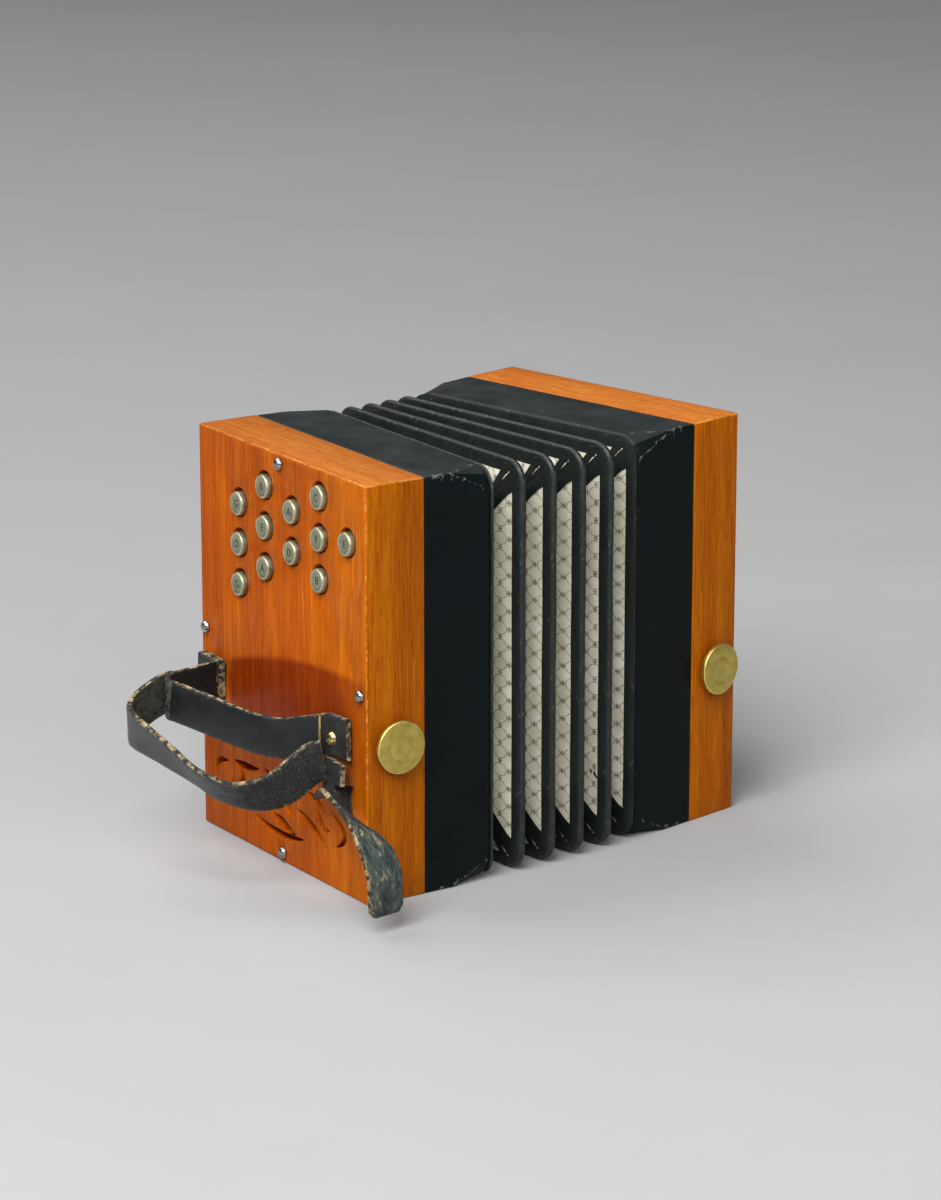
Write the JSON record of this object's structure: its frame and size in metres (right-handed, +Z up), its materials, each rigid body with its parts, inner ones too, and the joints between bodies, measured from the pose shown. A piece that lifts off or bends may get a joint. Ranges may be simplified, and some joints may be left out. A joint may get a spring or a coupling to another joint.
{
  "type": "concertina",
  "caption": "Square-ended concertina: fretted wooden ends with sprung buttons and hand straps, joined by leather bellows that pull, press and fan.",
  "frame": {"origin": "under the middle of the left end's wooden box, on the resting plane", "axes": "+X along the bellows towards the right end, -Y the side with the air buttons, +Z up"},
  "size_m": [0.2602, 0.1599, 0.152],
  "materials": {
    "face_wood": "varnished orange-brown fruitwood with fine vertical grain",
    "wall_wood": "varnished orange-brown wood with open vertical grain",
    "pale_wood": "bare pale sycamore",
    "button_metal": "dull nickel-silver caps with a bright worn rim",
    "brass": "worn yellow brass",
    "aged_brass": "aged olive brass, satin",
    "steel": "polished steel, slightly dulled",
    "frame_leather": "grained black-green leather with a soft sheen",
    "strap_leather": "cracked black leather with worn tan edges",
    "bellows_leather": "dark leather bindings with patterned paper panels"
  },
  "bodies": {
    "left_end": {"left_end_face": "face_wood", "left_end_walls": "wall_wood", "left_action_board": "pale_wood", "left_lever_posts": "brass", "left_key_springs": "brass", "left_reed_pan": "pale_wood", "left_reeds": "brass", "left_bellows_frame": "frame_leather", "left_end_bolts": "steel", "left_hand_strap": "strap_leather", "left_strap_fixings": "brass", "bellows_end_fold_left": "bellows_leather"},
    "right_end": {"right_end_face": "face_wood", "right_end_walls": "wall_wood", "right_action_board": "pale_wood", "right_lever_posts": "brass", "right_key_springs": "brass", "right_reed_pan": "pale_wood", "right_reeds": "brass", "right_bellows_frame": "frame_leather", "right_end_bolts": "steel", "right_hand_strap": "strap_leather", "right_strap_fixings": "brass"},
    "left_air": {"left_air_button": "aged_brass"},
    "left_key_01": {"left_key_01": "button_metal"},
    "left_key_02": {"left_key_02": "button_metal"},
    "left_key_03": {"left_key_03": "button_metal"},
    "left_key_04": {"left_key_04": "button_metal"},
    "left_key_05": {"left_key_05": "button_metal"},
    "left_key_06": {"left_key_06": "button_metal"},
    "left_key_07": {"left_key_07": "button_metal"},
    "left_key_08": {"left_key_08": "button_metal"},
    "left_key_09": {"left_key_09": "button_metal"},
    "left_key_10": {"left_key_10": "button_metal"},
    "left_key_11": {"left_key_11": "button_metal"},
    "left_key_12": {"left_key_12": "button_metal"},
    "right_air": {"right_air_button": "aged_brass"},
    "right_key_01": {"right_key_01": "button_metal"},
    "right_key_02": {"right_key_02": "button_metal"},
    "right_key_03": {"right_key_03": "button_metal"},
    "right_key_04": {"right_key_04": "button_metal"},
    "right_key_05": {"right_key_05": "button_metal"},
    "right_key_06": {"right_key_06": "button_metal"},
    "right_key_07": {"right_key_07": "button_metal"},
    "right_key_08": {"right_key_08": "button_metal"},
    "right_key_09": {"right_key_09": "button_metal"},
    "right_key_10": {"right_key_10": "button_metal"},
    "right_key_11": {"right_key_11": "button_metal"},
    "right_key_12": {"right_key_12": "button_metal"},
    "valley_1": {"bellows_valley_1": "bellows_leather"},
    "fold_1": {"bellows_fold_1": "bellows_leather"},
    "valley_2": {"bellows_valley_2": "bellows_leather"},
    "fold_2": {"bellows_fold_2": "bellows_leather"},
    "valley_3": {"bellows_valley_3": "bellows_leather"},
    "fold_3": {"bellows_fold_3": "bellows_leather"},
    "valley_4": {"bellows_valley_4": "bellows_leather"},
    "fold_4": {"bellows_fold_4": "bellows_leather"},
    "valley_5": {"bellows_valley_5": "bellows_leather"},
    "fold_5": {"bellows_end_fold_right": "bellows_leather"}
  },
  "joints": [
    {"name": "bellows_pull", "type": "slide", "parent": "left_end", "child": "valley_1", "axis": [1, 0, 0], "range_m": [-0.002, 0.006], "deforming": ["bellows_end_fold_left"]},
    {"name": "bellows_fan", "type": "hinge", "parent": "valley_1", "child": "fold_1", "pos_m": [0.04435, 0.0572, 0.076], "axis": [0, 0, 1], "range_deg": [-2.57, 2.4], "deforming": ["bellows_valley_1"]},
    {"name": "bellows_pull_2", "type": "slide", "parent": "fold_1", "child": "valley_2", "axis": [0.999, 0.0448, 0], "range_m": [-0.004, 0.012], "deforming": ["bellows_fold_1"]},
    {"name": "bellows_fan_2", "type": "hinge", "parent": "valley_2", "child": "fold_2", "pos_m": [0.05304, 0.05759, 0.076], "axis": [0, 0, 1], "range_deg": [-2.57, 2.4], "deforming": ["bellows_valley_2"]},
    {"name": "bellows_pull_3", "type": "slide", "parent": "fold_2", "child": "valley_3", "axis": [0.996, 0.0896, 0], "range_m": [-0.004, 0.012], "deforming": ["bellows_fold_2"]},
    {"name": "bellows_fan_3", "type": "hinge", "parent": "valley_3", "child": "fold_3", "pos_m": [0.0617, 0.05837, 0.076], "axis": [0, 0, 1], "range_deg": [-2.57, 2.4], "deforming": ["bellows_valley_3"]},
    {"name": "bellows_pull_4", "type": "slide", "parent": "fold_3", "child": "valley_4", "axis": [0.991, 0.1342, 0], "range_m": [-0.004, 0.012], "deforming": ["bellows_fold_3"]},
    {"name": "bellows_fan_4", "type": "hinge", "parent": "valley_4", "child": "fold_4", "pos_m": [0.07032, 0.05953, 0.076], "axis": [0, 0, 1], "range_deg": [-2.57, 2.4], "deforming": ["bellows_valley_4"]},
    {"name": "bellows_pull_5", "type": "slide", "parent": "fold_4", "child": "valley_5", "axis": [0.9839, 0.1785, 0], "range_m": [-0.004, 0.012], "deforming": ["bellows_fold_4"]},
    {"name": "bellows_fan_5", "type": "hinge", "parent": "valley_5", "child": "fold_5", "pos_m": [0.07887, 0.06109, 0.076], "axis": [0, 0, 1], "range_deg": [-2.57, 2.4], "deforming": ["bellows_valley_5"]},
    {"name": "bellows_pull_6", "type": "slide", "parent": "fold_5", "child": "right_end", "axis": [0.975, 0.2224, 0], "range_m": [-0.002, 0.006], "deforming": ["bellows_end_fold_right"]},
    {"name": "left_air_press", "type": "slide", "parent": "left_end", "child": "left_air", "axis": [0, 1, 0], "range_m": [0, 0.002], "stiffness_N_per_m": 300, "springref_m": -0.004},
    {"name": "left_press_01", "type": "hinge", "parent": "left_end", "child": "left_key_01", "pos_m": [-0.0015, 0.02444, 0.09], "axis": [0, 1, 0], "range_deg": [0, 3.02], "stiffness_Nm_per_rad": 0.1, "springref_deg": -11.46},
    {"name": "left_press_02", "type": "hinge", "parent": "left_end", "child": "left_key_02", "pos_m": [-0.0015, 0.03224, 0.075], "axis": [0, 1, 0], "range_deg": [0, 3.02], "stiffness_Nm_per_rad": 0.1, "springref_deg": -11.46},
    {"name": "left_press_03", "type": "hinge", "parent": "left_end", "child": "left_key_03", "pos_m": [-0.0015, 0.02834, 0.06], "axis": [0, 1, 0], "range_deg": [0, 3.02], "stiffness_Nm_per_rad": 0.1, "springref_deg": -11.46},
    {"name": "left_press_04", "type": "hinge", "parent": "left_end", "child": "left_key_04", "pos_m": [-0.0015, 0.0064, 0.1], "axis": [0, 1, 0], "range_deg": [0, 3.02], "stiffness_Nm_per_rad": 0.1, "springref_deg": -11.46},
    {"name": "left_press_05", "type": "hinge", "parent": "left_end", "child": "left_key_05", "pos_m": [-0.0015, 0.0142, 0.085], "axis": [0, 1, 0], "range_deg": [0, 3.02], "stiffness_Nm_per_rad": 0.1, "springref_deg": -11.46},
    {"name": "left_press_06", "type": "hinge", "parent": "left_end", "child": "left_key_06", "pos_m": [-0.0015, 0.0103, 0.07], "axis": [0, 1, 0], "range_deg": [0, 3.02], "stiffness_Nm_per_rad": 0.1, "springref_deg": -11.46},
    {"name": "left_press_07", "type": "hinge", "parent": "left_end", "child": "left_key_07", "pos_m": [-0.0015, -0.01229, 0.0947], "axis": [0, 1, 0], "range_deg": [0, 3.02], "stiffness_Nm_per_rad": 0.1, "springref_deg": -11.46},
    {"name": "left_press_08", "type": "hinge", "parent": "left_end", "child": "left_key_08", "pos_m": [-0.0015, -0.00449, 0.0797], "axis": [0, 1, 0], "range_deg": [0, 3.02], "stiffness_Nm_per_rad": 0.1, "springref_deg": -11.46},
    {"name": "left_press_09", "type": "hinge", "parent": "left_end", "child": "left_key_09", "pos_m": [-0.0015, -0.03089, 0.1037], "axis": [0, 1, 0], "range_deg": [0, 3.02], "stiffness_Nm_per_rad": 0.1, "springref_deg": -11.46},
    {"name": "left_press_10", "type": "hinge", "parent": "left_end", "child": "left_key_10", "pos_m": [-0.0015, -0.02309, 0.0887], "axis": [0, 1, 0], "range_deg": [0, 3.02], "stiffness_Nm_per_rad": 0.1, "springref_deg": -11.46},
    {"name": "left_press_11", "type": "hinge", "parent": "left_end", "child": "left_key_11", "pos_m": [-0.0015, -0.02699, 0.0737], "axis": [0, 1, 0], "range_deg": [0, 3.02], "stiffness_Nm_per_rad": 0.1, "springref_deg": -11.46},
    {"name": "left_press_12", "type": "hinge", "parent": "left_end", "child": "left_key_12", "pos_m": [-0.0015, -0.04389, 0.091], "axis": [0, 1, 0], "range_deg": [0, 3.02], "stiffness_Nm_per_rad": 0.1, "springref_deg": -11.46},
    {"name": "right_air_press", "type": "slide", "parent": "right_end", "child": "right_air", "axis": [-0.2224, 0.975, 0], "range_m": [0, 0.002], "stiffness_N_per_m": 300, "springref_m": -0.004},
    {"name": "right_press_01", "type": "hinge", "parent": "right_end", "child": "right_key_01", "pos_m": [0.1333, 0.0399, 0.09], "axis": [0.2224, -0.975, 0], "range_deg": [0, 3.02], "stiffness_Nm_per_rad": 0.1, "springref_deg": -11.46},
    {"name": "right_press_02", "type": "hinge", "parent": "right_end", "child": "right_key_02", "pos_m": [0.13156, 0.0475, 0.075], "axis": [0.2224, -0.975, 0], "range_deg": [0, 3.02], "stiffness_Nm_per_rad": 0.1, "springref_deg": -11.46},
    {"name": "right_press_03", "type": "hinge", "parent": "right_end", "child": "right_key_03", "pos_m": [0.13243, 0.0437, 0.06], "axis": [0.2224, -0.975, 0], "range_deg": [0, 3.02], "stiffness_Nm_per_rad": 0.1, "springref_deg": -11.46},
    {"name": "right_press_04", "type": "hinge", "parent": "right_end", "child": "right_key_04", "pos_m": [0.13731, 0.02232, 0.1], "axis": [0.2224, -0.975, 0], "range_deg": [0, 3.02], "stiffness_Nm_per_rad": 0.1, "springref_deg": -11.46},
    {"name": "right_press_05", "type": "hinge", "parent": "right_end", "child": "right_key_05", "pos_m": [0.13557, 0.02992, 0.085], "axis": [0.2224, -0.975, 0], "range_deg": [0, 3.02], "stiffness_Nm_per_rad": 0.1, "springref_deg": -11.46},
    {"name": "right_press_06", "type": "hinge", "parent": "right_end", "child": "right_key_06", "pos_m": [0.13644, 0.02612, 0.07], "axis": [0.2224, -0.975, 0], "range_deg": [0, 3.02], "stiffness_Nm_per_rad": 0.1, "springref_deg": -11.46},
    {"name": "right_press_07", "type": "hinge", "parent": "right_end", "child": "right_key_07", "pos_m": [0.14146, 0.00409, 0.0947], "axis": [0.2224, -0.975, 0], "range_deg": [0, 3.02], "stiffness_Nm_per_rad": 0.1, "springref_deg": -11.46},
    {"name": "right_press_08", "type": "hinge", "parent": "right_end", "child": "right_key_08", "pos_m": [0.13973, 0.0117, 0.0797], "axis": [0.2224, -0.975, 0], "range_deg": [0, 3.02], "stiffness_Nm_per_rad": 0.1, "springref_deg": -11.46},
    {"name": "right_press_09", "type": "hinge", "parent": "right_end", "child": "right_key_09", "pos_m": [0.1456, -0.01405, 0.1037], "axis": [0.2224, -0.975, 0], "range_deg": [0, 3.02], "stiffness_Nm_per_rad": 0.1, "springref_deg": -11.46},
    {"name": "right_press_10", "type": "hinge", "parent": "right_end", "child": "right_key_10", "pos_m": [0.14387, -0.00644, 0.0887], "axis": [0.2224, -0.975, 0], "range_deg": [0, 3.02], "stiffness_Nm_per_rad": 0.1, "springref_deg": -11.46},
    {"name": "right_press_11", "type": "hinge", "parent": "right_end", "child": "right_key_11", "pos_m": [0.14473, -0.01024, 0.0737], "axis": [0.2224, -0.975, 0], "range_deg": [0, 3.02], "stiffness_Nm_per_rad": 0.1, "springref_deg": -11.46},
    {"name": "right_press_12", "type": "hinge", "parent": "right_end", "child": "right_key_12", "pos_m": [0.14849, -0.02672, 0.091], "axis": [0.2224, -0.975, 0], "range_deg": [0, 3.02], "stiffness_Nm_per_rad": 0.1, "springref_deg": -11.46}
  ],
  "couplings": [
    {"joint": "bellows_pull_2", "follows": "bellows_pull", "ratio": 2},
    {"joint": "bellows_fan_2", "follows": "bellows_fan", "ratio": 1},
    {"joint": "bellows_pull_3", "follows": "bellows_pull", "ratio": 2},
    {"joint": "bellows_fan_3", "follows": "bellows_fan", "ratio": 1},
    {"joint": "bellows_pull_4", "follows": "bellows_pull", "ratio": 2},
    {"joint": "bellows_fan_4", "follows": "bellows_fan", "ratio": 1},
    {"joint": "bellows_pull_5", "follows": "bellows_pull", "ratio": 2},
    {"joint": "bellows_fan_5", "follows": "bellows_fan", "ratio": 1},
    {"joint": "bellows_pull_6", "follows": "bellows_pull", "ratio": 1}
  ]
}
